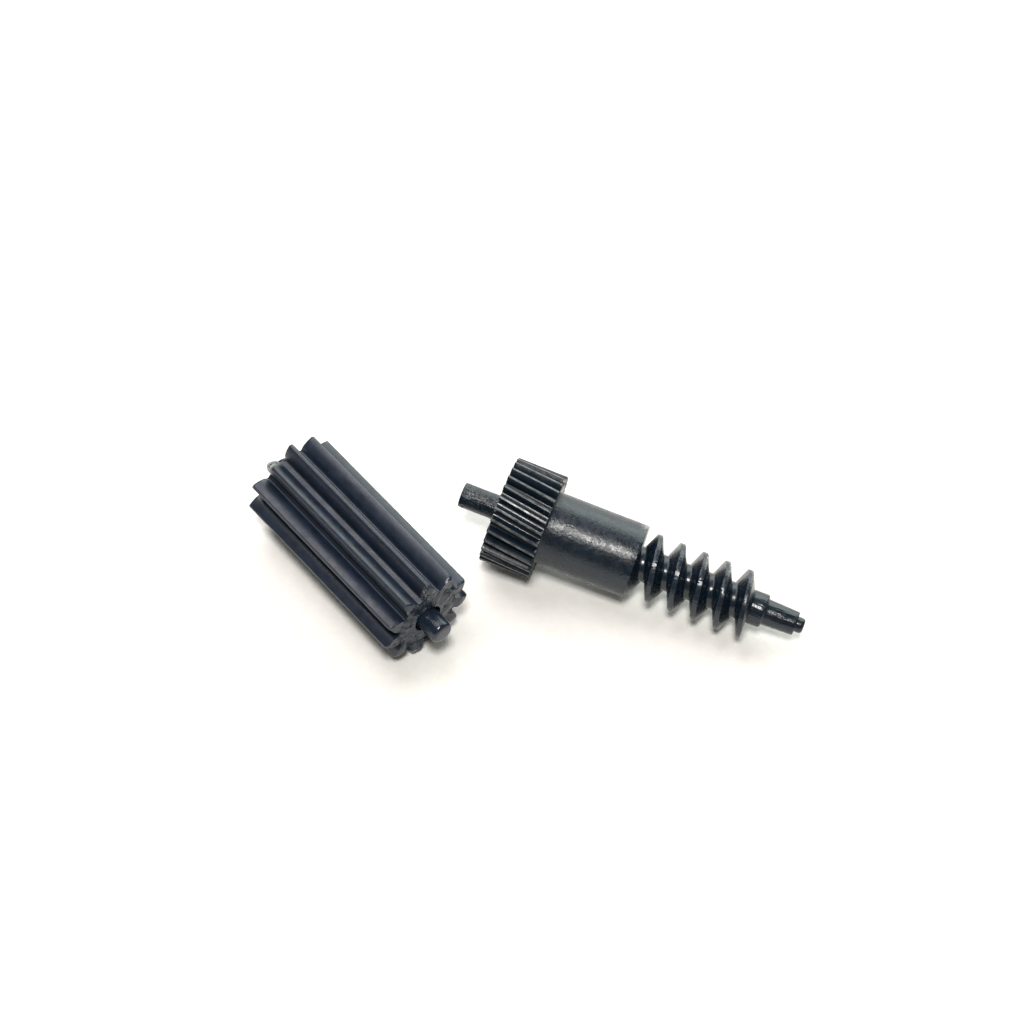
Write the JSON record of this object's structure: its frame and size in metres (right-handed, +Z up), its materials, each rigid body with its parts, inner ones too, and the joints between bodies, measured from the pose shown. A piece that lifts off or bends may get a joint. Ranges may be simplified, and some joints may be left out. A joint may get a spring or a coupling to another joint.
{
  "type": "worm gear set",
  "caption": "Loose micro gearbox parts: a one-piece spindle with helical gear, drum and worm thread, beside a long straight spur pinion with end pivots.",
  "frame": {"origin": "on the surface the parts lie on, under the middle of the set", "axes": "+Z up from the surface; +X along the spindle's heading from its gear to its nose; +Y level, to the left of that heading"},
  "size_m": [0.0292, 0.0127, 0.0059],
  "materials": {
    "spindle_acetal": "black acetal, satin with glossy worn crests",
    "pinion_acetal": "black acetal, satin, glossy pivots"
  },
  "bodies": {
    "spindle": {"worm_spindle": "spindle_acetal"},
    "pinion": {"long_pinion": "pinion_acetal"}
  },
  "joints": [
    {"name": "pinion_spin", "type": "hinge", "parent": "spindle", "child": "pinion", "pos_m": [-0.00833, -0.00121, 0.00263], "axis": [0.8643, -0.503, 0], "continuous": true}
  ]
}
